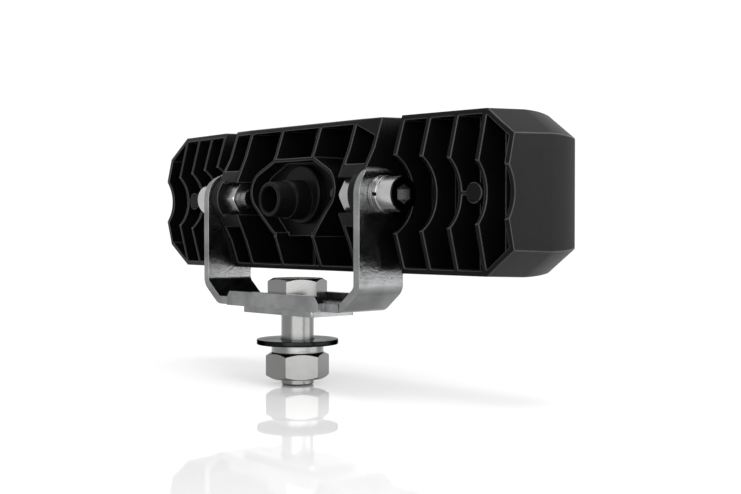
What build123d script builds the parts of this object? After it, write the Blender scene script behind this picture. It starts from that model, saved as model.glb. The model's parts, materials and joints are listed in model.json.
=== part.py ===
from build123d import *
import os
from math import atan2, cos, hypot, pi, radians, sin, tan

os.makedirs("parts", exist_ok=True)

# Frame: millimetres, +Z up, +Y to the rear of the lamp, the lens faces -Y.
# The origin is on the mounting bolt's axis, at the face that rests on the vehicle.

# ---- Lamp body -------------------------------------------------------------
mid_height = 35.7  # height of the tilt axis, which is also the lamp's mid-height
rear_limit = 9.0  # beyond the rearmost metal of the casting
crown_limit = 30.0  # beyond the casting's half height
crown_front_y = -40.0  # beyond the front rim
crease_y = -21.0  # depth at which the outside starts to round in toward the front
front_y = -34.4  # front rim
rear_half_width = 80.5
rear_half_height = 21.9
crease_half_width = 82.4
crease_half_height = 23.0
front_half_width = 79.8
front_half_height = 22.3
chamfer_run = 9.6  # corner chamfer, measured along the width
chamfer_rise = 7.1  # corner chamfer, measured along the height
rounding_steps = 9  # sections that shape the rounded front shoulder

# ---- Rear surface of the fins ----------------------------------------------
rim_y = -1.9  # rear rim, at half height 22.4
rim_height = 22.4
rim_bend_x = 27.0  # outboard of this the rim runs forward
rim_sweep = 0.118
centre_slope = 0.346  # fin edges of the centre section, rearward per unit of drop
end_slope = 0.318  # the same on the innermost end fin
end_slope_loss = 0.0025  # per millimetre outboard
shoulder_height = 13.5
block_height = 5.5
block_y = 4.8  # rear face of the pivot blocks
scoop_radius = 12.1  # trough across the end fins that clears the pivot screws
scoop_axis_y = 5.0

# ---- Walls and fins --------------------------------------------------------
rear_wall = 1.5
floor_rear_y = -14.5  # bottom of the fin channels
floor_front_y = -17.5
fin_thickness = 1.3
end_fin_x = (43.25, 52.5, 61.9, 71.2)
end_wall = 1.8
fin_c_x = 9.2
fin_b_x = 25.3
fin_a_x = 34.8
slot_inner_x = 35.4  # slot that takes a bracket arm
slot_outer_x = 42.6
stud_x = 67.0  # blind round boss between the two outer end fins
stud_radius = 2.9
stud_rear_y = -6.5
stud_rib_thickness = 1.0  # short rib from the stud to the fin inboard of it
gusset_top = 20.9  # corner web between fins A and B, its edge at fin B
gusset_bottom = 16.7  # and at fin A

# ---- Gland pocket ----------------------------------------------------------
collar_rear_y = 2.7
collar_crown_radius = 60.0
collar_wall = 1.1
collar_top = 12.0
collar_bottom = -11.9
collar_flat = 9.5
collar_shoulder = (17.2, 8.2)  # where the round sides start
collar_bulge = (20.9, 1.7)  # widest point of the round sides
collar_waist = (18.2, -3.5)  # where the round sides end
pocket_floor_y = -3.5
pocket_floor_thickness = 2.8
tower_wall = 2.0

# ---- Pivots ----------------------------------------------------------------
pivot_block_top = 9.0
pivot_block_inner_x = fin_b_x - fin_thickness / 2
boss_radius = 7.6
boss_inner_x = 31.9
nut_pocket_half_height = 5.1
nut_pocket_y = -6.4
m6_radius = 3.0
m6_clearance_radius = 3.3

# ---- Front opening ---------------------------------------------------------
bezel_wall = 1.8
bezel_seat_y = -31.4
lens_pocket_inset = 6.5
lens_seat_y = -27.4
cavity_inset = 8.5
bezel_front_y = -34.0
bezel_gap = 0.2
bezel_chamfer = 0.5
bezel_window_inset = 9.2
lens_thickness = 3.0
lens_gap = 0.3
gasket_inset = 8.4
bezel_screw_inset = 4.2
m3_radius = 1.5
m3_head_radius = 2.3
m3_head_height = 1.5
m3_head_chamfer = 0.4
m3_counterbore_gap = 0.2
m3_socket_flats = 2.0
m3_socket_depth = 1.0
m3_length = 9.0
bezel_screw_x = (0.0, 36.0)
fit_gap = 0.05  # clearance between parts of one assembly

# ---- Optics and electronics ------------------------------------------------
pad_thickness = 0.5
pad_window_half_width = 21.5
board_thickness = 1.6
board_inset = 9.4
board_screw_x = (-60.2, 0.0, 60.2)  # midway between emitters
board_screw_height = 10.9
emitter_size = 3.5
emitter_height = 0.8
cell_pitch = 17.2
cell_count = 8
cell_half_width = 8.2
cell_half_height = 12.2
cell_throat_radius = 2.9
reflector_front_y = -26.9
reflector_inset = 8.9
reflector_gap = 0.3
driver_board_half_width = 10.4
driver_board_half_height = 7.6
driver_board_rear_y = -12.4
driver_board_thickness = 1.2
standoff_radius = 1.2
standoff_margin_x = 1.8  # from the driver board's edge
standoff_margin_z = 1.6
inductor_size = 7.0
inductor_corner = 1.0
inductor_height = 3.2
capacitor_radius = 1.6
capacitor_height = 3.4
capacitor_x = -6.4
capacitor_offset = 2.2
transistor_width = 4.2
transistor_depth = 3.4
transistor_height = 1.2
transistor_x = 6.6
transistor_offset = 2.4

# ---- Cable gland -----------------------------------------------------------
gland_axis_z = mid_height - 0.8
flange_axis_z = mid_height + 0.9
flange_radius = 9.1
flange_rear_y = -1.0
flange_rounding = 0.7
seal_thickness = 0.6
seal_inset = 0.6
tube_root_radius = 6.1
tube_step_radius = 5.9
tube_step_y = 4.6  # the tube steps in here
tube_step = 0.35
tube_radius = 5.2
tube_mouth_rounding = 0.4
tube_end_y = 11.0
cable_radius = 4.0
grommet_rear_y = 3.0
grommet_radius = 4.6
grommet_bore_radius = 3.1
spigot_radius = 5.5
spigot_front_y = -10.2
lock_nut_radius = 7.4
lock_nut_thickness = 2.4
vent_x = -13.2
vent_height = 1.0
vent_radius = 1.1
vent_rim = 0.35  # the cap stands this far out all round, and this proud

# ---- Bracket ---------------------------------------------------------------
sheet = 2.5
arm_inner_x = 35.6
arm_outer_x = arm_inner_x + sheet
arm_half_width = 8.5
doubler_thickness = 2.0
base_bottom_z = doubler_thickness
base_top_z = base_bottom_z + sheet
arm_foot_z = 8.1  # height at which the upright arm turns in to the base
base_corner_x = 30.4
bend_radius_outer = 4.5
lip_inner_y = 8.15
lip_outer_y = lip_inner_y + sheet
lip_top_z = 6.5
lip_half_length_top = 21.0
lip_half_length_root = 22.5
lip_bend_radius = 2.2
doubler_half_length = 17.0
doubler_half_width = 8.4
doubler_corner = 1.0

# ---- Mounting bolt, M10 ----------------------------------------------------
m10_radius = 5.0
bolt_hole_radius = 5.25
bolt_end_z = -21.8
bolt_tip_chamfer = 0.5
m10_face_share = 0.95  # round face of a hexagon's end, as a share of its flats
m6_face_share = 1.05
hex_trim_angle = 30.0
washer_chamfer = 0.15
bolt_head_flats = 16.0
bolt_head_height = 6.4
m10_nut_flats = 17.0
m10_nut_height = 8.0
m10_nut_bottom_z = -19.8
m10_nut_bore_radius = 5.05
m10_spring_thickness = 2.5
m10_spring_radius = 8.0
m10_washer_radius = 12.55
m10_washer_thickness = 1.5
m10_washer_bore_radius = 5.3

# ---- Pivot screws, M6 ------------------------------------------------------
m6_washer_radius = 5.5
m6_washer_thickness = 1.55
m6_spring_radius = 5.4
m6_spring_thickness = 1.6
m6_head_radius = 5.0
m6_head_height = 6.0
m6_length = 18.0
m6_socket_flats = 5.0
m6_socket_depth = 3.2
m6_nut_flats = 10.0
m6_nut_thickness = 6.0
m6_head_chamfer = 0.3
split_gap = 0.9  # opening in a spring washer
split_slant = 4.0  # degrees


def depth_plane(y, height=mid_height):
    """Plane across the lamp at depth y: local x is X, local y is Z, normal is -Y."""
    return Plane(origin=(0, y, height), x_dir=(1, 0, 0), z_dir=(0, -1, 0))


def side_plane(x, height=mid_height):
    """Plane along the lamp's depth at x: local x is Y, local y is Z, normal is +X."""
    return Plane(origin=(x, 0, height), x_dir=(0, 1, 0), z_dir=(1, 0, 0))


def outside_size(y):
    """Half width and half height of the casting at depth y."""
    if y >= crease_y:
        share = (rear_limit - y) / (rear_limit - crease_y)
        width = rear_half_width + share * (crease_half_width - rear_half_width)
        height = rear_half_height + share * (crease_half_height - rear_half_height)
        return width, height
    share = ((crease_y - y) / (crease_y - front_y)) ** 2
    width = crease_half_width + share * (front_half_width - crease_half_width)
    height = crease_half_height + share * (front_half_height - crease_half_height)
    return width, height


def outline(y, inset=0.0):
    """Corners of the eight-sided outline at depth y, moved inward by inset."""
    width, height = outside_size(y)
    chamfer = hypot(chamfer_run, chamfer_rise)
    normal_x = chamfer_rise / chamfer
    normal_z = chamfer_run / chamfer
    reach = normal_x * width + normal_z * (height - chamfer_rise) - inset
    width = width - inset
    height = height - inset
    corner_x = (reach - normal_z * height) / normal_x
    corner_z = (reach - normal_x * width) / normal_z
    quarter = [(width, corner_z), (corner_x, height)]
    upper = quarter + [(-x, z) for x, z in reversed(quarter)]
    return upper + [(-x, -z) for x, z in upper]


def crown_profile(x):
    """Outline, in depth and height, that the rear of the fins follows at this x."""
    x = abs(x)
    top_y = rim_y - rim_sweep * max(0.0, x - rim_bend_x)
    if x <= slot_inner_x:
        slope = centre_slope
        inner_y = block_y
    else:
        slope = end_slope - end_slope_loss * (x - slot_outer_x)
        inner_y = top_y + slope * (rim_height - block_height)
    limit_y = top_y - slope * (crown_limit - rim_height)
    shoulder_y = top_y + slope * (rim_height - shoulder_height)
    lower = [(limit_y, -crown_limit), (shoulder_y, -shoulder_height), (inner_y, -block_height)]
    upper = [(y, -z) for y, z in reversed(lower)]
    return [(crown_front_y, -crown_limit)] + lower + upper + [(crown_front_y, crown_limit)]


def collar_outline():
    """Draws the pocket's bell-shaped outline, round at the sides and pointed below."""
    half = [
        (collar_flat, collar_top),
        collar_shoulder,
        collar_bulge,
        collar_waist,
        (fin_c_x + fin_thickness / 2, collar_bottom),
    ]
    for side in (1, -1):
        flat, upper, bulge, lower, foot = [(side * x, z) for x, z in half]
        Line((0, collar_top), flat)
        Line(flat, upper)
        ThreePointArc(upper, bulge, lower)
        Line(lower, foot)
        Line(foot, (0, collar_bottom))


def bezel_screw_points():
    """Centres of the screws that hold the bezel, above, below and at both ends."""
    width, height = outside_size(front_y)
    points = []
    for side in (-1, 1):
        for x in bezel_screw_x + (-bezel_screw_x[1],):
            points.append((x, side * (height - bezel_screw_inset)))
        points.append((side * (width - bezel_screw_inset), 0.0))
    return points


def save(part, name):
    """Labels a finished part and writes it out."""
    part.label = name
    export_step(part, f"parts/{name}.step")


# ---- Solids shared by the casting ------------------------------------------
with BuildPart() as crown:
    half_stations = (rim_bend_x, slot_inner_x, slot_outer_x, crease_half_width + 2)
    stations = [-x for x in reversed(half_stations)] + list(half_stations)
    for near_x, far_x in zip(stations, stations[1:]):
        for x in (near_x, far_x):
            with BuildSketch(side_plane(x)):
                Polygon(*crown_profile(x), align=None)
        loft(ruled=True)
    for side in (-1, 1):
        with BuildSketch(side_plane(side * slot_outer_x)):
            with Locations((scoop_axis_y, 0)):
                Circle(scoop_radius)
        extrude(amount=side * (crease_half_width + 3 - slot_outer_x), mode=Mode.SUBTRACT)

with BuildPart() as collar_cap:
    with BuildSketch(depth_plane(rear_limit)):
        with BuildLine():
            collar_outline()
        make_face()
    extrude(amount=rear_limit - pocket_floor_y)
    with BuildSketch(side_plane(-collar_crown_radius)):
        with Locations((collar_rear_y - collar_crown_radius, 0)):
            Circle(collar_crown_radius)
    extrude(amount=2 * collar_crown_radius, mode=Mode.SUBTRACT)

# Channels between the fins: the inside of the rear, less what stays metal.
over_rim = rim_height + 1  # a height outside the casting
with BuildPart() as channels:
    for y in (rear_limit, floor_rear_y):
        with BuildSketch(depth_plane(y)):
            Polygon(*outline(y, rear_wall), align=None)
    loft(ruled=True)
    fins = [side * x for x in end_fin_x + (fin_c_x, fin_b_x, fin_a_x) for side in (-1, 1)]
    with BuildSketch(depth_plane(rear_limit)):
        with Locations(*[(x, 0) for x in fins]):
            Rectangle(fin_thickness, 2 * over_rim)
        for side in (-1, 1):
            block_middle = (pivot_block_inner_x + slot_inner_x) / 2
            with Locations((side * block_middle, 0)):
                Rectangle(slot_inner_x - pivot_block_inner_x, 2 * pivot_block_top)
        web = [(-fin_b_x, gusset_top), (-fin_b_x, over_rim), (-fin_a_x, over_rim), (-fin_a_x, gusset_bottom)]
        Polygon(*web, align=None)
    extrude(amount=rear_limit - floor_rear_y, mode=Mode.SUBTRACT)
    with BuildSketch(depth_plane(rear_limit)):
        with BuildLine():
            collar_outline()
        make_face()
    extrude(amount=rear_limit - floor_rear_y, mode=Mode.SUBTRACT)
    with BuildSketch(depth_plane(stud_rear_y)):
        with Locations((-stud_x, 0), (stud_x, 0)):
            Circle(stud_radius)
        rib_length = stud_x - end_fin_x[2]
        with Locations((-stud_x + rib_length / 2, 0), (stud_x - rib_length / 2, 0)):
            Rectangle(rib_length, stud_rib_thickness)
        with Locations((0, (collar_bottom - rim_height) / 2)):
            Rectangle(fin_thickness, over_rim + collar_bottom + 1)
    extrude(amount=stud_rear_y - floor_rear_y, mode=Mode.SUBTRACT)

# ---- Heat sink housing -----------------------------------------------------
with BuildPart() as housing:
    depths = [rear_limit] + [
        crease_y - (crease_y - front_y) * step / rounding_steps
        for step in range(rounding_steps + 1)
    ]
    for y in depths:
        with BuildSketch(depth_plane(y)):
            Polygon(*outline(y), align=None)
    loft(ruled=True)
    add(crown.part, mode=Mode.INTERSECT)
    add(channels.part, mode=Mode.SUBTRACT)
    # slots for the bracket arms
    with BuildSketch(depth_plane(rear_limit)):
        with Locations(*[(side * (slot_inner_x + slot_outer_x) / 2, 0) for side in (-1, 1)]):
            Rectangle(slot_outer_x - slot_inner_x, 2 * (over_rim + 1))
    extrude(amount=rear_limit - floor_rear_y, mode=Mode.SUBTRACT)
    # pivot bosses
    for side in (-1, 1):
        with BuildSketch(side_plane(side * boss_inner_x)):
            Circle(boss_radius)
        extrude(amount=side * (slot_inner_x - boss_inner_x))
    # nut pockets, open to the rear and toward the gland
    with BuildSketch(depth_plane(rear_limit)):
        pocket_inner = pivot_block_inner_x - 0.5
        pocket_middle = (pocket_inner + boss_inner_x) / 2
        with Locations((-pocket_middle, 0), (pocket_middle, 0)):
            Rectangle(boss_inner_x - pocket_inner, 2 * nut_pocket_half_height)
    extrude(amount=rear_limit - nut_pocket_y, mode=Mode.SUBTRACT)
    for side in (-1, 1):
        with BuildSketch(side_plane(side * (boss_inner_x - 1))):
            Circle(m6_radius + fit_gap)
        extrude(amount=side * (slot_inner_x - boss_inner_x + 2), mode=Mode.SUBTRACT)
    # gland pocket, open at the rear and below
    add(collar_cap.part, mode=Mode.SUBTRACT)
    with BuildSketch(depth_plane(rear_limit)):
        with BuildLine():
            collar_outline()
        make_face()
        offset(amount=-collar_wall, kind=Kind.INTERSECTION)
        with Locations((0, collar_bottom)):
            Rectangle(2 * (fin_c_x - fin_thickness / 2), 4 * collar_wall)
    extrude(amount=rear_limit - pocket_floor_y, mode=Mode.SUBTRACT)
    # room behind the gland, open to the sealed cavity in front
    with BuildSketch(depth_plane(floor_front_y - 1)):
        with BuildLine():
            collar_outline()
        make_face()
        offset(amount=-tower_wall, kind=Kind.INTERSECTION)
    tower_depth = pocket_floor_y - pocket_floor_thickness - floor_front_y + 1
    extrude(amount=-tower_depth, mode=Mode.SUBTRACT)
    # gland and vent holes
    with BuildSketch(depth_plane(pocket_floor_y + 1)):
        with Locations((0, gland_axis_z - mid_height)):
            Circle(spigot_radius + fit_gap)
        with Locations((vent_x, vent_height)):
            Circle(vent_radius)
    extrude(amount=pocket_floor_thickness + 2, mode=Mode.SUBTRACT)
    # front opening in three steps: bezel, lens, cavity
    steps = (
        (front_y - 1, bezel_seat_y, bezel_wall),
        (bezel_seat_y - 1, lens_seat_y, lens_pocket_inset),
        (lens_seat_y - 1, floor_front_y, cavity_inset),
    )
    for start, stop, inset in steps:
        with BuildSketch(depth_plane(stop)):
            Polygon(*outline(front_y, inset), align=None)
        extrude(amount=stop - start, mode=Mode.SUBTRACT)
    # tapped holes of the bezel screws
    with BuildSketch(depth_plane(bezel_seat_y)):
        with Locations(*bezel_screw_points()):
            Circle(m3_radius + fit_gap)
    extrude(amount=-m3_length, mode=Mode.SUBTRACT)
save(housing.part, "heat_sink_housing")

# ---- Front: bezel, screws, lens, gasket ------------------------------------
with BuildPart() as bezel:
    with BuildSketch(depth_plane(bezel_seat_y)):
        Polygon(*outline(front_y, bezel_wall + bezel_gap), align=None)
        Polygon(*outline(front_y, bezel_window_inset), align=None, mode=Mode.SUBTRACT)
    extrude(amount=bezel_seat_y - bezel_front_y)
    window = bezel.edges().filter_by_position(Axis.Y, bezel_front_y - 0.01, bezel_front_y + 0.01)
    chamfer(window, length=bezel_chamfer)
    with BuildSketch(depth_plane(bezel_seat_y + 1)):
        with Locations(*bezel_screw_points()):
            Circle(m3_radius + fit_gap)
    extrude(amount=bezel_seat_y - bezel_front_y + 2, mode=Mode.SUBTRACT)
    with BuildSketch(depth_plane(bezel_front_y + m3_head_height)):
        with Locations(*bezel_screw_points()):
            Circle(m3_head_radius + m3_counterbore_gap)
    extrude(amount=m3_head_height + 1, mode=Mode.SUBTRACT)
save(bezel.part, "front_bezel")

with BuildPart() as bezel_screws:
    with BuildSketch(depth_plane(bezel_front_y + m3_head_height)):
        with Locations(*bezel_screw_points()):
            Circle(m3_head_radius)
    extrude(amount=m3_head_height - fit_gap)
    heads = bezel_screws.faces().sort_by(Axis.Y)[: len(bezel_screw_points())]
    chamfer(heads.edges(), length=m3_head_chamfer)
    with BuildSketch(depth_plane(bezel_front_y + m3_head_height)):
        with Locations(*bezel_screw_points()):
            Circle(m3_radius)
    extrude(amount=-(m3_length - m3_head_height))
    with BuildSketch(depth_plane(bezel_front_y + m3_socket_depth)):
        with Locations(*bezel_screw_points()):
            RegularPolygon(radius=m3_socket_flats / 2, side_count=6, major_radius=False)
    extrude(amount=2 * m3_socket_depth, mode=Mode.SUBTRACT)
save(bezel_screws.part, "bezel_screws")

with BuildPart() as lens:
    with BuildSketch(depth_plane(bezel_seat_y + lens_thickness)):
        Polygon(*outline(front_y, lens_pocket_inset + lens_gap), align=None)
    extrude(amount=lens_thickness)
save(lens.part, "front_lens")

with BuildPart() as gasket:
    with BuildSketch(depth_plane(lens_seat_y)):
        Polygon(*outline(front_y, lens_pocket_inset + lens_gap), align=None)
        Polygon(*outline(front_y, gasket_inset), align=None, mode=Mode.SUBTRACT)
    extrude(amount=lens_seat_y - bezel_seat_y - lens_thickness)
save(gasket.part, "lens_gasket")

# ---- Optics and electronics, sealed inside ---------------------------------
board_rear_y = floor_front_y - pad_thickness
board_front_y = board_rear_y - board_thickness
cell_x = [cell_pitch * (n - (cell_count - 1) / 2) for n in range(cell_count)]
board_screw_points = [(x, side * board_screw_height) for x in board_screw_x for side in (-1, 1)]

with BuildPart() as pad:
    with BuildSketch(depth_plane(floor_front_y)):
        Polygon(*outline(front_y, board_inset), align=None)
        Rectangle(2 * pad_window_half_width, 2 * collar_top, mode=Mode.SUBTRACT)
        with Locations(*board_screw_points):
            Circle(m3_radius + fit_gap, mode=Mode.SUBTRACT)
    extrude(amount=pad_thickness)
save(pad.part, "thermal_pad")

with BuildPart() as board:
    with BuildSketch(depth_plane(board_rear_y)):
        Polygon(*outline(front_y, board_inset), align=None)
        with Locations(*board_screw_points):
            Circle(m3_radius + fit_gap, mode=Mode.SUBTRACT)
    extrude(amount=board_thickness)
save(board.part, "led_board")

with BuildPart() as board_screws:
    with BuildSketch(depth_plane(board_front_y)):
        with Locations(*board_screw_points):
            Circle(m3_head_radius)
    extrude(amount=m3_head_height)
    with BuildSketch(depth_plane(board_front_y)):
        with Locations(*board_screw_points):
            Circle(m3_radius)
    extrude(amount=-(board_thickness + pad_thickness))
save(board_screws.part, "board_screws")

with BuildPart() as emitters:
    with BuildSketch(depth_plane(board_front_y)):
        with Locations(*[(x, 0) for x in cell_x]):
            Rectangle(emitter_size, emitter_size)
    extrude(amount=emitter_height)
save(emitters.part, "led_emitters")

with BuildPart() as reflector:
    reflector_rear_y = board_front_y - m3_head_height - reflector_gap
    with BuildSketch(depth_plane(reflector_rear_y)):
        Polygon(*outline(front_y, reflector_inset), align=None)
    extrude(amount=reflector_rear_y - reflector_front_y)
    for x in cell_x:
        with BuildSketch(depth_plane(reflector_rear_y)):
            with Locations((x, 0)):
                Circle(cell_throat_radius)
        with BuildSketch(depth_plane(reflector_front_y)):
            with Locations((x, 0)):
                Ellipse(cell_half_width, cell_half_height)
        loft(mode=Mode.SUBTRACT)
save(reflector.part, "reflector_insert")

with BuildPart() as driver_board:
    with BuildSketch(depth_plane(driver_board_rear_y)):
        Rectangle(2 * driver_board_half_width, 2 * driver_board_half_height)
    extrude(amount=driver_board_thickness)
save(driver_board.part, "driver_board")

driver_front_y = driver_board_rear_y - driver_board_thickness
standoff_x = driver_board_half_width - standoff_margin_x
standoff_z = driver_board_half_height - standoff_margin_z
with BuildPart() as standoffs:
    with BuildSketch(depth_plane(board_rear_y)):
        with Locations(*[(x, z) for x in (-standoff_x, standoff_x) for z in (-standoff_z, standoff_z)]):
            Circle(standoff_radius)
    extrude(amount=board_rear_y - driver_front_y)
save(standoffs.part, "driver_standoffs")

with BuildPart() as inductor:
    with BuildSketch(depth_plane(driver_front_y)):
        RectangleRounded(inductor_size, inductor_size, inductor_corner)
    extrude(amount=inductor_height)
save(inductor.part, "driver_inductor")

with BuildPart() as capacitors:
    with BuildSketch(depth_plane(driver_front_y)):
        with Locations((capacitor_x, capacitor_offset), (capacitor_x, -capacitor_offset)):
            Circle(capacitor_radius)
    extrude(amount=capacitor_height)
save(capacitors.part, "driver_capacitors")

with BuildPart() as transistors:
    with BuildSketch(depth_plane(driver_front_y)):
        with Locations((transistor_x, transistor_offset), (transistor_x, -transistor_offset)):
            Rectangle(transistor_width, transistor_depth)
    extrude(amount=transistor_height)
save(transistors.part, "driver_transistors")

# ---- Cable gland -----------------------------------------------------------
gland_offset = gland_axis_z - mid_height
flange_offset = flange_axis_z - mid_height
flange_front_y = pocket_floor_y + seal_thickness

with BuildPart() as gland_body:
    with BuildSketch(depth_plane(flange_rear_y)):
        with Locations((0, flange_offset)):
            Circle(flange_radius)
    extrude(amount=flange_rear_y - flange_front_y)
    rim = gland_body.edges().filter_by_position(Axis.Y, flange_rear_y - 0.01, flange_rear_y + 0.01)
    fillet(rim, radius=flange_rounding)
    tube_lengths = (
        (flange_rear_y, tube_root_radius, tube_step_y, tube_step_radius),
        (tube_step_y, tube_step_radius - tube_step, tube_end_y, tube_radius),
    )
    for start_y, start_radius, stop_y, stop_radius in tube_lengths:
        for y, radius in ((start_y, start_radius), (stop_y, stop_radius)):
            with BuildSketch(depth_plane(y)):
                with Locations((0, gland_offset)):
                    Circle(radius)
        loft()
    mouth = gland_body.edges().filter_by_position(Axis.Y, tube_end_y - 0.01, tube_end_y + 0.01)
    fillet(mouth, radius=tube_mouth_rounding)
    with BuildSketch(depth_plane(flange_front_y)):
        with Locations((0, gland_offset)):
            Circle(spigot_radius)
    extrude(amount=flange_front_y - spigot_front_y)
    with BuildSketch(depth_plane(tube_end_y + 1)):
        with Locations((0, gland_offset)):
            Circle(cable_radius)
    extrude(amount=tube_end_y + 1 - grommet_rear_y, mode=Mode.SUBTRACT)
    with BuildSketch(depth_plane(grommet_rear_y)):
        with Locations((0, gland_offset)):
            Circle(grommet_radius)
    extrude(amount=grommet_rear_y - spigot_front_y, mode=Mode.SUBTRACT)
save(gland_body.part, "gland_body")

with BuildPart() as gland_seal:
    with BuildSketch(depth_plane(flange_front_y)):
        with Locations((0, flange_offset)):
            Circle(flange_radius - seal_inset)
        with Locations((0, gland_offset)):
            Circle(spigot_radius + fit_gap, mode=Mode.SUBTRACT)
    extrude(amount=seal_thickness)
save(gland_seal.part, "gland_seal")

with BuildPart() as grommet:
    with BuildSketch(depth_plane(grommet_rear_y)):
        with Locations((0, gland_offset)):
            Circle(grommet_radius)
            Circle(grommet_bore_radius, mode=Mode.SUBTRACT)
    extrude(amount=grommet_rear_y - spigot_front_y)
save(grommet.part, "gland_grommet")

with BuildPart() as lock_nut:
    lock_nut_rear_y = pocket_floor_y - pocket_floor_thickness
    with BuildSketch(depth_plane(lock_nut_rear_y)):
        with Locations((0, gland_offset)):
            RegularPolygon(radius=lock_nut_radius, side_count=6, major_radius=False)
            Circle(spigot_radius + fit_gap, mode=Mode.SUBTRACT)
    extrude(amount=lock_nut_thickness)
save(lock_nut.part, "gland_lock_nut")

with BuildPart() as vent:
    with BuildSketch(depth_plane(pocket_floor_y + vent_rim)):
        with Locations((vent_x, vent_height)):
            Circle(vent_radius + vent_rim)
    extrude(amount=vent_rim)
    with BuildSketch(depth_plane(pocket_floor_y)):
        with Locations((vent_x, vent_height)):
            Circle(vent_radius - fit_gap)
    extrude(amount=pocket_floor_thickness)
save(vent.part, "vent_plug")


# ---- Bracket ---------------------------------------------------------------
def bracket_section(inset, top_z):
    """Corners of the bracket's outer or inner face, up one arm and down the other."""
    rise = arm_foot_z - base_bottom_z
    run = arm_outer_x - base_corner_x
    base_bend = atan2(rise, run)
    arm_bend = radians(90) - base_bend
    base_x = base_corner_x - inset * tan(base_bend / 2)
    arm_x = arm_outer_x - inset
    foot_z = arm_foot_z + inset * tan(arm_bend / 2)
    half = [(base_x, base_bottom_z + inset), (arm_x, foot_z), (arm_x, top_z)]
    return half + [(-x, z) for x, z in reversed(half)]


# The base between the arms is a shallow channel with its sides bent up.
with BuildPart() as lips:
    with BuildSketch(Plane.YZ.offset(-lip_half_length_root)):
        Polygon(
            (-lip_outer_y, lip_top_z),
            (-lip_outer_y, base_bottom_z),
            (lip_outer_y, base_bottom_z),
            (lip_outer_y, lip_top_z),
            align=None,
        )
        corners = vertices().filter_by_position(Axis.Z, base_bottom_z - 0.01, base_bottom_z + 0.01)
        fillet(corners, radius=lip_bend_radius)
        with Locations((0, base_top_z + lip_top_z)):
            Rectangle(2 * lip_inner_y, 2 * lip_top_z, mode=Mode.SUBTRACT)
    extrude(amount=2 * lip_half_length_root)
    lip_points = [
        (lip_half_length_root, base_bottom_z),
        (lip_half_length_root, base_top_z),
        (lip_half_length_top, lip_top_z),
    ]
    lip_points = lip_points + [(-x, z) for x, z in reversed(lip_points)]
    with BuildSketch(Plane.XZ.offset(-lip_outer_y - 1)):
        Polygon(*lip_points, align=None)
    extrude(amount=2 * lip_outer_y + 2, mode=Mode.INTERSECT)

with BuildPart() as bracket:
    arm_top_z = mid_height + arm_half_width
    for inset, top_z, bend, mode in (
        (0.0, arm_top_z, bend_radius_outer, Mode.ADD),
        (sheet, arm_top_z + 1, bend_radius_outer - sheet, Mode.SUBTRACT),
    ):
        with BuildSketch(Plane.XZ.offset(-arm_half_width)):
            Polygon(*bracket_section(inset, top_z), align=None)
            corners = vertices().filter_by_position(Axis.Z, 0, arm_foot_z + sheet + 1)
            fillet(corners, radius=bend)
        extrude(amount=2 * arm_half_width, mode=mode)
    # arms rounded about the tilt axis
    with BuildSketch(side_plane(-arm_outer_x - 1)):
        with Locations((0, -mid_height / 2)):
            Rectangle(4 * arm_half_width, mid_height)
        Circle(arm_half_width)
    extrude(amount=2 * arm_outer_x + 2, mode=Mode.INTERSECT)
    # upturned lips along the base
    add(lips.part)
    with BuildSketch(Plane.XY):
        Circle(bolt_hole_radius)
    extrude(amount=base_top_z + 1, mode=Mode.SUBTRACT)
    with BuildSketch(side_plane(-arm_outer_x - 1)):
        Circle(m6_clearance_radius)
    extrude(amount=2 * arm_outer_x + 2, mode=Mode.SUBTRACT)
save(bracket.part, "mounting_bracket")

with BuildPart() as doubler:
    with BuildSketch(Plane.XY):
        RectangleRounded(2 * doubler_half_length, 2 * doubler_half_width, doubler_corner)
        Circle(bolt_hole_radius, mode=Mode.SUBTRACT)
    extrude(amount=doubler_thickness)
save(doubler.part, "doubler_plate")


# ---- Fasteners -------------------------------------------------------------
def hex_blank(plane, flats, thickness, face_share, both_ends):
    """A hexagonal blank rising from plane, its corners trimmed to a cone at the end."""
    corner = flats / 2 / cos(radians(30))
    face_radius = face_share * flats / 2
    trim = (corner - face_radius) * tan(radians(hex_trim_angle))
    start = trim if both_ends else 0.0
    start_radius = face_radius if both_ends else corner
    points = [
        (0, 0),
        (start_radius, 0),
        (corner, start),
        (corner, thickness - trim),
        (face_radius, thickness),
        (0, thickness),
    ]
    if not both_ends:
        points.pop(2)
    section = Plane(origin=plane.origin, x_dir=plane.x_dir, z_dir=-plane.y_dir)
    with BuildPart() as blank:
        with BuildSketch(plane):
            RegularPolygon(radius=flats / 2, side_count=6, major_radius=False)
        extrude(amount=thickness)
        with BuildSketch(section):
            Polygon(*points, align=None)
        revolve(axis=Axis(plane.origin, plane.z_dir), mode=Mode.INTERSECT)
    return blank.part


def split_ring(plane, outer, inner, thickness):
    """A spring washer: a flat ring with a nearly straight cut across one side."""
    with BuildPart() as ring:
        with BuildSketch(plane):
            Circle(outer)
            Circle(inner, mode=Mode.SUBTRACT)
        extrude(amount=thickness)
        tilt = radians(split_slant)
        cut_plane = Plane(
            origin=plane.origin + plane.z_dir * (thickness / 2),
            x_dir=plane.x_dir,
            z_dir=plane.z_dir * cos(tilt) + plane.y_dir * sin(tilt),
        )
        with BuildSketch(cut_plane):
            with Locations(((outer + inner) / 2, 0)):
                Rectangle(1.4 * (outer - inner), split_gap)
        extrude(amount=thickness, both=True, mode=Mode.SUBTRACT)
    return ring.part


def flat_ring(plane, outer, inner, thickness):
    """A plain washer."""
    with BuildPart() as ring:
        with BuildSketch(plane):
            Circle(outer)
            Circle(inner, mode=Mode.SUBTRACT)
        extrude(amount=thickness)
        rims = ring.edges().filter_by(lambda edge: edge.length > 2 * pi * outer - fit_gap)
        chamfer(rims, length=washer_chamfer)
    return ring.part


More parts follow.
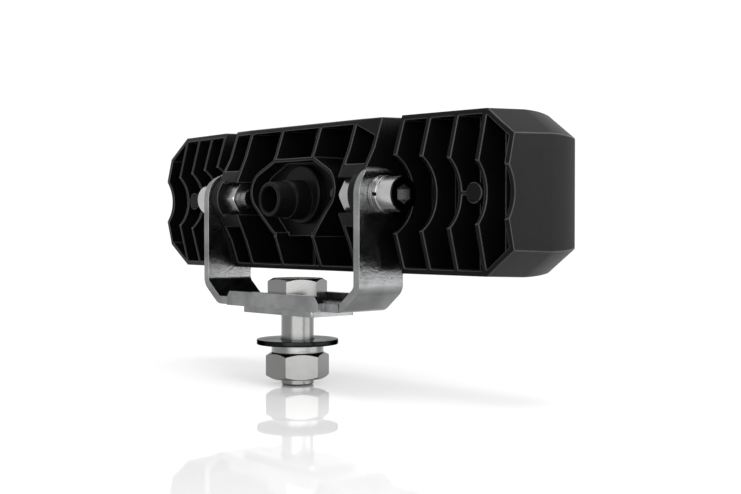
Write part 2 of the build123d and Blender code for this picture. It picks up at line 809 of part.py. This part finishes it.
with BuildPart() as bolt:
    head_plane = Plane.XY.offset(base_top_z)
    add(hex_blank(head_plane, bolt_head_flats, bolt_head_height, m10_face_share, False))
    with BuildSketch(Plane.XY.offset(bolt_end_z)):
        Circle(m10_radius)
    extrude(amount=base_top_z - bolt_end_z)
    tip = bolt.edges().filter_by_position(Axis.Z, bolt_end_z - 0.01, bolt_end_z + 0.01)
    chamfer(tip, length=bolt_tip_chamfer)
save(bolt.part, "mounting_bolt")

with BuildPart() as nut:
    m10_nut_plane = Plane.XY.offset(m10_nut_bottom_z)
    add(hex_blank(m10_nut_plane, m10_nut_flats, m10_nut_height, m10_face_share, True))
    with BuildSketch(m10_nut_plane):
        Circle(m10_nut_bore_radius)
    extrude(amount=m10_nut_height, mode=Mode.SUBTRACT)
save(nut.part, "mounting_nut")

m10_spring_z = m10_nut_bottom_z + m10_nut_height
m10_washer_z = m10_spring_z + m10_spring_thickness
spring_plane = Plane.XY.offset(m10_spring_z)
m10_spring = split_ring(
    spring_plane, m10_spring_radius, m10_washer_bore_radius, m10_spring_thickness
)
save(m10_spring, "mounting_spring_washer")
m10_washer = flat_ring(
    Plane.XY.offset(m10_washer_z), m10_washer_radius, m10_washer_bore_radius, m10_washer_thickness
)
save(m10_washer, "mounting_flat_washer")


def outboard_plane(side, x):
    """Plane at distance x along the pivot, its normal pointing outboard."""
    return Plane(origin=(side * x, 0, mid_height), x_dir=(0, 1, 0), z_dir=(side, 0, 0))


washer_x = arm_outer_x + fit_gap
spring_x = washer_x + m6_washer_thickness
head_x = spring_x + m6_spring_thickness
for side, name in ((-1, "left"), (1, "right")):
    with BuildPart() as screw:
        with BuildSketch(outboard_plane(side, head_x)):
            Circle(m6_head_radius)
        extrude(amount=m6_head_height)
        end_face = screw.faces().sort_by(Axis.X)[0 if side < 0 else -1]
        chamfer(end_face.edges(), length=m6_head_chamfer)
        with BuildSketch(outboard_plane(side, head_x)):
            Circle(m6_radius)
        extrude(amount=-m6_length)
        with BuildSketch(outboard_plane(side, head_x + m6_head_height)):
            RegularPolygon(radius=m6_socket_flats / 2, side_count=6, major_radius=False, rotation=30)
        extrude(amount=-m6_socket_depth, mode=Mode.SUBTRACT)
    save(screw.part, f"pivot_screw_{name}")

    m6_bore_radius = m6_radius + fit_gap
    washer_plane = outboard_plane(side, washer_x)
    m6_washer = flat_ring(washer_plane, m6_washer_radius, m6_bore_radius, m6_washer_thickness)
    save(m6_washer, f"pivot_flat_washer_{name}")
    m6_spring_plane = outboard_plane(side, spring_x)
    m6_spring = split_ring(m6_spring_plane, m6_spring_radius, m6_bore_radius, m6_spring_thickness)
    save(m6_spring, f"pivot_spring_washer_{name}")
    with BuildPart() as pivot_nut:
        nut_plane = outboard_plane(side, boss_inner_x - m6_nut_thickness)
        add(hex_blank(nut_plane, m6_nut_flats, m6_nut_thickness, m6_face_share, True))
        with BuildSketch(nut_plane):
            Circle(m6_bore_radius)
        extrude(amount=m6_nut_thickness, mode=Mode.SUBTRACT)
    save(pivot_nut.part, f"pivot_nut_{name}")
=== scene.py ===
import json
import math
import bpy
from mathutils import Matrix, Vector


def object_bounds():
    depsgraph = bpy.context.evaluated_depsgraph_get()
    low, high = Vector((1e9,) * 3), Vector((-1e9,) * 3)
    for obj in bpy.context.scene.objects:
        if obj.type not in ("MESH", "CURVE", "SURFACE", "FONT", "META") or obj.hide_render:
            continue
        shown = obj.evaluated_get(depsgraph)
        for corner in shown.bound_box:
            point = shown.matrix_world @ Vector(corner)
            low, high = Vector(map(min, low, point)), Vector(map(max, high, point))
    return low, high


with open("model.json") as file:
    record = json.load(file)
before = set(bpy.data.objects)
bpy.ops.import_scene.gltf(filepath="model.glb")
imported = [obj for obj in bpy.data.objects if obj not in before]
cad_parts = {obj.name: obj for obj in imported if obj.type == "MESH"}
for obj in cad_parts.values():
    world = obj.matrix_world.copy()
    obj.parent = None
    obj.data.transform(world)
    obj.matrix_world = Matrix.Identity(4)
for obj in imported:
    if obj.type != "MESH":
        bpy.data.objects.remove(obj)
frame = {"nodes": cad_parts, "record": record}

MM = 0.001
CAD_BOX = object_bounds()
NODES = frame["nodes"]
ENDS = ("left", "right")
scene = bpy.context.scene

# Camera behind the lamp, at about its own height, in millimetres and degrees.
CAMERA_PLACE = (-281.78, 225.10, 26.01)
CAMERA_YAW = 47.81
CAMERA_PITCH = -0.89
CAMERA_LENS = 56.87
SENSOR_WIDTH = 36.0
CLIP_RANGE = (0.01, 20.0)

# Floor and room.
FLOOR_HALF = 0.45
FLOOR_TONES = (0.62, 0.64)
FLOOR_ROUGHNESS = 0.035
ROOM_STRENGTH = 1.04

# Soft lamps: place, aim, width and height in metres, then watts.
# "front" stands on the camera's side, and "side" beyond the lamp's near end.
LAMPS = {
    "side": ((-0.85, -0.6, 0.45), (0, 0, 0.03), 1.0, 1.0, 9.0),
    "front": ((-0.9, 0.72, 0.35), (0, 0, 0.0), 2.0, 0.9, 18.0),
    "top": ((0.0, 0.0, 1.6), (0, 0, 0), 0.9, 0.9, 14.0),
}

# Pivot screws: where the end face's painted shade starts along X, the tilt axis and the socket,
# whose inside gets a lighter painted shade.
SCREW_FACE_X = 47.0 * MM
SCREW_FACE_BLEND = 0.04 * MM
TILT_AXIS_HEIGHT = 35.7 * MM
SOCKET_RADIUS = 3.0 * MM
SOCKET_BLEND = 0.1 * MM
# Painted shade: a dim grey inside the socket, near black on the screws' end face.
SOCKET_SHADE_TONE = 0.16
SCREW_FACE_SHADE_TONE = 0.006

# Rounding of each node's sharp edges, in millimetres.
EDGE_WIDTHS = {
    "heat_sink_housing": 0.26,
    "front_bezel": 0.2,
    "mounting_bracket": 0.3,
    "doubler_plate": 0.25,
    "mounting_bolt": 0.22,
    "mounting_nut": 0.22,
    "mounting_spring_washer": 0.2,
    "mounting_flat_washer": 0.3,
    "gland_body": 0.15,
    "vent_plug": 0.15,
}
PIVOT_EDGE_WIDTHS = {"screw": 0.15, "flat_washer": 0.15, "spring_washer": 0.15, "nut": 0.2}
WELD_REACH = 0.001
BEVEL_SEGMENTS = 2
SHARP_ANGLE = 28.0


# ---- Camera, floor and light -------------------------------------------------
def make_camera():
    """A camera aimed by its yaw from -Y towards +X and its pitch, with no roll."""
    yaw = math.radians(CAMERA_YAW)
    pitch = math.radians(CAMERA_PITCH)
    across = math.sin(yaw) * math.cos(pitch)
    ahead = -math.cos(yaw) * math.cos(pitch)
    forward = Vector((across, ahead, math.sin(pitch)))
    data = bpy.data.cameras.new("camera")
    data.sensor_width = SENSOR_WIDTH
    data.lens = CAMERA_LENS
    data.clip_start, data.clip_end = CLIP_RANGE
    camera = bpy.data.objects.new("camera", data)
    camera.location = [value * MM for value in CAMERA_PLACE]
    camera.rotation_mode = "QUATERNION"
    camera.rotation_quaternion = forward.to_track_quat("-Z", "Y")
    scene.collection.objects.link(camera)
    scene.camera = camera


def make_lamp(name, place, aim, width, height, power):
    """A soft rectangular lamp facing its aim."""
    data = bpy.data.lights.new(name, "AREA")
    data.shape = "RECTANGLE"
    data.size = width
    data.size_y = height
    data.energy = power
    lamp = bpy.data.objects.new(name, data)
    lamp.location = place
    lamp.rotation_mode = "QUATERNION"
    lamp.rotation_quaternion = (Vector(aim) - Vector(place)).to_track_quat("-Z", "Y")
    scene.collection.objects.link(lamp)


def make_floor():
    """A polished pale floor under the tip of the mounting bolt."""
    mesh = bpy.data.meshes.new("floor")
    half = FLOOR_HALF
    z = CAD_BOX[0][2]
    corners = [(-half, -half, z), (half, -half, z), (half, half, z), (-half, half, z)]
    mesh.from_pydata(corners, [], [(0, 1, 2, 3)])
    floor = bpy.data.objects.new("floor", mesh)
    scene.collection.objects.link(floor)
    material, tree, shader = node_material("floor_white")
    tone = noise(tree, object_vector(tree), 3.0)
    low, high = FLOOR_TONES
    colour = colour_between(tree, tone, (low, low, low), (high, high, high))
    link(tree, colour, shader.inputs["Base Color"])
    shader.inputs["Roughness"].default_value = FLOOR_ROUGHNESS
    mesh.materials.append(material)


def make_world():
    """A plain white room, the same in every direction and for every ray."""
    world = bpy.data.worlds.new("studio")
    scene.world = world
    world.use_nodes = True
    background = world.node_tree.nodes["Background"]
    background.inputs["Color"].default_value = (1.0, 1.0, 1.0, 1.0)
    background.inputs["Strength"].default_value = ROOM_STRENGTH
    scene.view_settings.view_transform = "Standard"


# ---- Material building blocks ------------------------------------------------
def node_material(name):
    """A new node material, with its tree and its shader."""
    material = bpy.data.materials.new(name)
    material.use_nodes = True
    tree = material.node_tree
    return material, tree, tree.nodes["Principled BSDF"]


def link(tree, source, target):
    tree.links.new(source, target)


def object_vector(tree, stretch=(1, 1, 1)):
    """Position on the object, in metres, stretched per axis."""
    coords = tree.nodes.new("ShaderNodeTexCoord")
    mapping = tree.nodes.new("ShaderNodeMapping")
    mapping.inputs["Scale"].default_value = stretch
    link(tree, coords.outputs["Object"], mapping.inputs["Vector"])
    return mapping.outputs["Vector"]


def noise(tree, vector, scale, detail=4.0, roughness=0.55):
    node = tree.nodes.new("ShaderNodeTexNoise")
    node.inputs["Scale"].default_value = scale
    node.inputs["Detail"].default_value = detail
    node.inputs["Roughness"].default_value = roughness
    link(tree, vector, node.inputs["Vector"])
    return node.outputs["Fac"]


def ramp(tree, source, low, high, from_low=0.0, from_high=1.0):
    """Maps a value from one range to another, clamped."""
    node = tree.nodes.new("ShaderNodeMapRange")
    node.inputs["From Min"].default_value = from_low
    node.inputs["From Max"].default_value = from_high
    node.inputs["To Min"].default_value = low
    node.inputs["To Max"].default_value = high
    link(tree, source, node.inputs["Value"])
    return node.outputs["Result"]


def colour_between(tree, factor, first, second):
    """A colour that runs from the first to the second as the factor rises."""
    node = tree.nodes.new("ShaderNodeMix")
    node.data_type = "RGBA"
    node.inputs[6].default_value = (*first, 1.0)
    node.inputs[7].default_value = (*second, 1.0)
    link(tree, factor, node.inputs[0])
    return node.outputs[2]


def over(tree, factor, colour, tone):
    """Lays a plain grey over a colour by a mask."""
    node = tree.nodes.new("ShaderNodeMix")
    node.data_type = "RGBA"
    link(tree, factor, node.inputs[0])
    link(tree, colour, node.inputs[6])
    node.inputs[7].default_value = (tone, tone, tone, 1.0)
    return node.outputs[2]


def math_node(tree, operation, first, second=None):
    """One sum on a value: second may be a number or another value."""
    node = tree.nodes.new("ShaderNodeMath")
    node.operation = operation
    link(tree, first, node.inputs[0])
    if isinstance(second, float):
        node.inputs[1].default_value = second
    elif second is not None:
        link(tree, second, node.inputs[1])
    return node.outputs[0]


def blend(tree, fine, share, broad):
    """A share of a fine noise added to a broad one."""
    node = tree.nodes.new("ShaderNodeMath")
    node.operation = "MULTIPLY_ADD"
    link(tree, fine, node.inputs[0])
    node.inputs[1].default_value = share
    link(tree, broad, node.inputs[2])
    return node.outputs[0]


def bump(tree, height, shader, distance):
    node = tree.nodes.new("ShaderNodeBump")
    node.inputs["Strength"].default_value = 1.0
    node.inputs["Distance"].default_value = distance
    link(tree, height, node.inputs["Height"])
    link(tree, node.outputs["Normal"], shader.inputs["Normal"])


# ---- Kinds of material -------------------------------------------------------
def powder_coat(name, dark, light, rough, grain, gloss):
    """Fine-textured black powder coat: a pebbled grain with a little tonal drift."""
    material, tree, shader = node_material(name)
    vector = object_vector(tree)
    pebbles = noise(tree, vector, 1900.0, 3.0, 0.65)
    drift = noise(tree, vector, 60.0, 3.0)
    tone = ramp(tree, blend(tree, pebbles, 0.6, drift), 0, 1, 0.45, 1.1)
    link(tree, colour_between(tree, tone, dark, light), shader.inputs["Base Color"])
    link(tree, ramp(tree, pebbles, rough - 0.08, rough + 0.1), shader.inputs["Roughness"])
    shader.inputs["Specular IOR Level"].default_value = gloss
    bump(tree, pebbles, shader, grain)
    return material


def painted_screw_end_shade(tree, colour):
    """Painted shade on the pivot screws: the end face near black, and the inside of the socket in
    its middle a dimmer grey than the bare screw.
    """
    split = tree.nodes.new("ShaderNodeSeparateXYZ")
    link(tree, object_vector(tree), split.inputs[0])
    reach = math_node(tree, "ABSOLUTE", split.outputs["X"])
    end_face_shade = ramp(tree, reach, 0, 1, SCREW_FACE_X - SCREW_FACE_BLEND, SCREW_FACE_X)
    height = math_node(tree, "SUBTRACT", split.outputs["Z"], TILT_AXIS_HEIGHT)
    height_squared = math_node(tree, "MULTIPLY", height, height)
    depth_squared = math_node(tree, "MULTIPLY", split.outputs["Y"], split.outputs["Y"])
    radius = math_node(tree, "SQRT", math_node(tree, "ADD", height_squared, depth_squared))
    socket = ramp(tree, radius, 1, 0, SOCKET_RADIUS, SOCKET_RADIUS + SOCKET_BLEND)
    colour = over(tree, socket, colour, SOCKET_SHADE_TONE)
    return over(tree, end_face_shade, colour, SCREW_FACE_SHADE_TONE)


def metal(name, dark, light, rough, stretch, scale, grain, shade_paint=None, edge_tint=1.0):
    """Metal with fine streaks, drawn out where stretch says so, and soft mottling.

    shade_paint may lay painted shade over the colour. edge_tint below 1 holds back the
    brightening at shallow angles.
    """
    material, tree, shader = node_material(name)
    shader.inputs["Metallic"].default_value = 1.0
    shader.inputs["Specular Tint"].default_value = (edge_tint, edge_tint, edge_tint, 1.0)
    streaks = noise(tree, object_vector(tree, stretch), scale, 4.0, 0.6)
    mottle = noise(tree, object_vector(tree), 130.0, 4.0, 0.6)
    colour = colour_between(tree, ramp(tree, mottle, 0, 1, 0.3, 0.7), dark, light)
    # painted shade laid over the colour, where one is given
    if shade_paint is not None:
        colour = shade_paint(tree, colour)
    link(tree, colour, shader.inputs["Base Color"])
    mixed = blend(tree, streaks, 0.5, mottle)
    link(tree, ramp(tree, mixed, rough[0], rough[1], 0.45, 1.0), shader.inputs["Roughness"])
    bump(tree, streaks, shader, grain)
    return material


def plastic(name, base, lighter, rough, scale=900.0, grain=0.00001, gloss=0.5):
    """Moulded plastic, rubber or board with a faint grain."""
    material, tree, shader = node_material(name)
    fine = noise(tree, object_vector(tree), scale, 3.0)
    link(tree, colour_between(tree, fine, base, lighter), shader.inputs["Base Color"])
    link(tree, ramp(tree, fine, rough - 0.06, rough + 0.08), shader.inputs["Roughness"])
    shader.inputs["Specular IOR Level"].default_value = gloss
    bump(tree, fine, shader, grain)
    return material


def lens_plastic(name):
    """Clear polycarbonate with the faintest haze."""
    material, tree, shader = node_material(name)
    haze = noise(tree, object_vector(tree), 40.0, 3.0)
    link(tree, ramp(tree, haze, 0.02, 0.05), shader.inputs["Roughness"])
    colour = colour_between(tree, haze, (0.93, 0.96, 0.97), (0.96, 0.98, 0.98))
    link(tree, colour, shader.inputs["Base Color"])
    shader.inputs["IOR"].default_value = 1.5
    shader.inputs["Transmission Weight"].default_value = 1.0
    return material


# ---- Materials ---------------------------------------------------------------
EVEN = (1, 1, 1)
ALONG_X = (0.15, 1, 1)
TURNED_ABOUT_Z = (1, 1, 6)

# dark and light colours, roughness, grain depth in metres, gloss
POWDER_COATS = {
    "black_powder_coat": ((0.0008, 0.0008, 0.0009), (0.0022, 0.0022, 0.0023), 0.4, 0.00008, 0.085),
    # painted highlight: a lighter coat for the casting's bevels, standing in for light caught on
    # its rounded edges
    "painted_edge_highlight": ((0.008, 0.008, 0.0083), (0.03, 0.031, 0.0305), 0.34, 0.00006, 0.2),
    "bezel_black": ((0.003, 0.003, 0.003), (0.006, 0.006, 0.006), 0.36, 0.000008, 0.2),
}

# dark and light colours, lowest and highest roughness
METAL_TONES = {
    "stainless": ((0.175, 0.175, 0.172), (0.2, 0.2, 0.197), (0.18, 0.28)),
    "socket_screw": ((0.4, 0.4, 0.397), (0.47, 0.47, 0.467), (0.2, 0.32)),
    "small_fastener": ((0.29, 0.29, 0.287), (0.35, 0.35, 0.347), (0.18, 0.3)),
    "zinc_plate": ((0.145, 0.147, 0.149), (0.25, 0.252, 0.255), (0.13, 0.26)),
    "dark_washer": ((0.006, 0.0075, 0.007), (0.014, 0.016, 0.015), (0.12, 0.26)),
    "reflector_chrome": ((0.5, 0.5, 0.507), (0.55, 0.55, 0.555), (0.05, 0.12)),
    "capacitor_can": ((0.7, 0.7, 0.71), (0.8, 0.8, 0.8), (0.2, 0.35)),
}

# streak direction and scale, grain depth in metres, then any painted shade and edge tint
METAL_SURFACES = {
    "stainless": (TURNED_ABOUT_Z, 700.0, 0.000002),
    # the pivot screws get painted shade on the end face and in the socket
    "socket_screw": (ALONG_X, 1500.0, 0.000004, painted_screw_end_shade),
    "small_fastener": (EVEN, 900.0, 0.000003),
    "zinc_plate": (EVEN, 1300.0, 0.0001),
    "dark_washer": (EVEN, 700.0, 0.000004, None, 0.3),
    "reflector_chrome": (EVEN, 80.0, 0.000001),
    "capacitor_can": (EVEN, 500.0, 0.000003),
}

# base and lighter colours, roughness, then any scale, grain depth and gloss
PLASTICS = {
    "seal_rubber": ((0.012, 0.012, 0.012), (0.02, 0.02, 0.02), 0.6),
    "board_white": ((0.78, 0.79, 0.77), (0.85, 0.86, 0.84), 0.4),
    "board_green": ((0.02, 0.15, 0.06), (0.03, 0.2, 0.09), 0.35),
    "phosphor": ((0.85, 0.66, 0.12), (0.93, 0.75, 0.18), 0.45),
    "thermal_grey": ((0.42, 0.44, 0.47), (0.5, 0.52, 0.55), 0.75),
    "ferrite": ((0.03, 0.03, 0.032), (0.06, 0.06, 0.065), 0.5),
    "gland_black": ((0.001, 0.001, 0.0011), (0.0025, 0.0025, 0.0026), 0.4, 1400.0, 0.000008, 0.08),
    "vent_grey": ((0.012, 0.012, 0.012), (0.02, 0.02, 0.02), 0.5),
}

MATERIALS = {"clear_lens": lens_plastic("clear_lens")}
for name, values in POWDER_COATS.items():
    MATERIALS[name] = powder_coat(name, *values)
for name, values in METAL_TONES.items():
    MATERIALS[name] = metal(name, *values, *METAL_SURFACES[name])
for name, values in PLASTICS.items():
    MATERIALS[name] = plastic(name, *values)

# The slot named in the record, except that the pivot hardware is split in two.
SLOTS = {part["node"]: part["material_slot"] for part in frame["record"]["subparts"]}
for end in ENDS:
    for kind in PIVOT_EDGE_WIDTHS:
        SLOTS["pivot_" + kind + "_" + end] = "socket_screw" if kind == "screw" else "small_fastener"


# ---- Finishing the nodes -----------------------------------------------------
def paint_nodes():
    for name, piece in NODES.items():
        piece.data.materials.clear()
        piece.data.materials.append(MATERIALS[SLOTS[name]])


def soften(node, width):
    """Breaks a node's sharp edges with a small rounded bevel. On the casting the bevels carry a
    painted highlight: a lighter coat standing in for light caught on the rounded edges.

    The weld joins the split edges that the bevel needs. The weighted normals keep flat
    faces flat. Overlap is clamped except on the casting, where the clamp would shrink
    every bevel to suit its smallest step. Known fault: on the casting, the bezel, the
    bracket and the flat washers, some of the bevel's faces cross each other.
    """
    piece = NODES[node]
    is_casting = SLOTS[node] == "black_powder_coat"
    weld = piece.modifiers.new("join", "WELD")
    weld.merge_threshold = WELD_REACH * MM
    bevel = piece.modifiers.new("edges", "BEVEL")
    bevel.width = width * MM
    bevel.segments = BEVEL_SEGMENTS
    bevel.limit_method = "ANGLE"
    bevel.angle_limit = math.radians(SHARP_ANGLE)
    bevel.use_clamp_overlap = not is_casting
    bevel.miter_outer = "MITER_ARC"
    # painted highlight: the casting's bevel faces take the lighter coat
    if is_casting:
        piece.data.materials.append(MATERIALS["painted_edge_highlight"])
        bevel.material = 1
    level = piece.modifiers.new("flat faces", "WEIGHTED_NORMAL")
    level.mode = "FACE_AREA_WITH_ANGLE"
    for face in piece.data.polygons:
        face.use_smooth = True


# ---- Building the scene ------------------------------------------------------
make_camera()
make_world()
make_floor()
for name, values in LAMPS.items():
    make_lamp(name, *values)
paint_nodes()
for node, width in EDGE_WIDTHS.items():
    soften(node, width)
for end in ENDS:
    for kind, width in PIVOT_EDGE_WIDTHS.items():
        soften("pivot_" + kind + "_" + end, width)
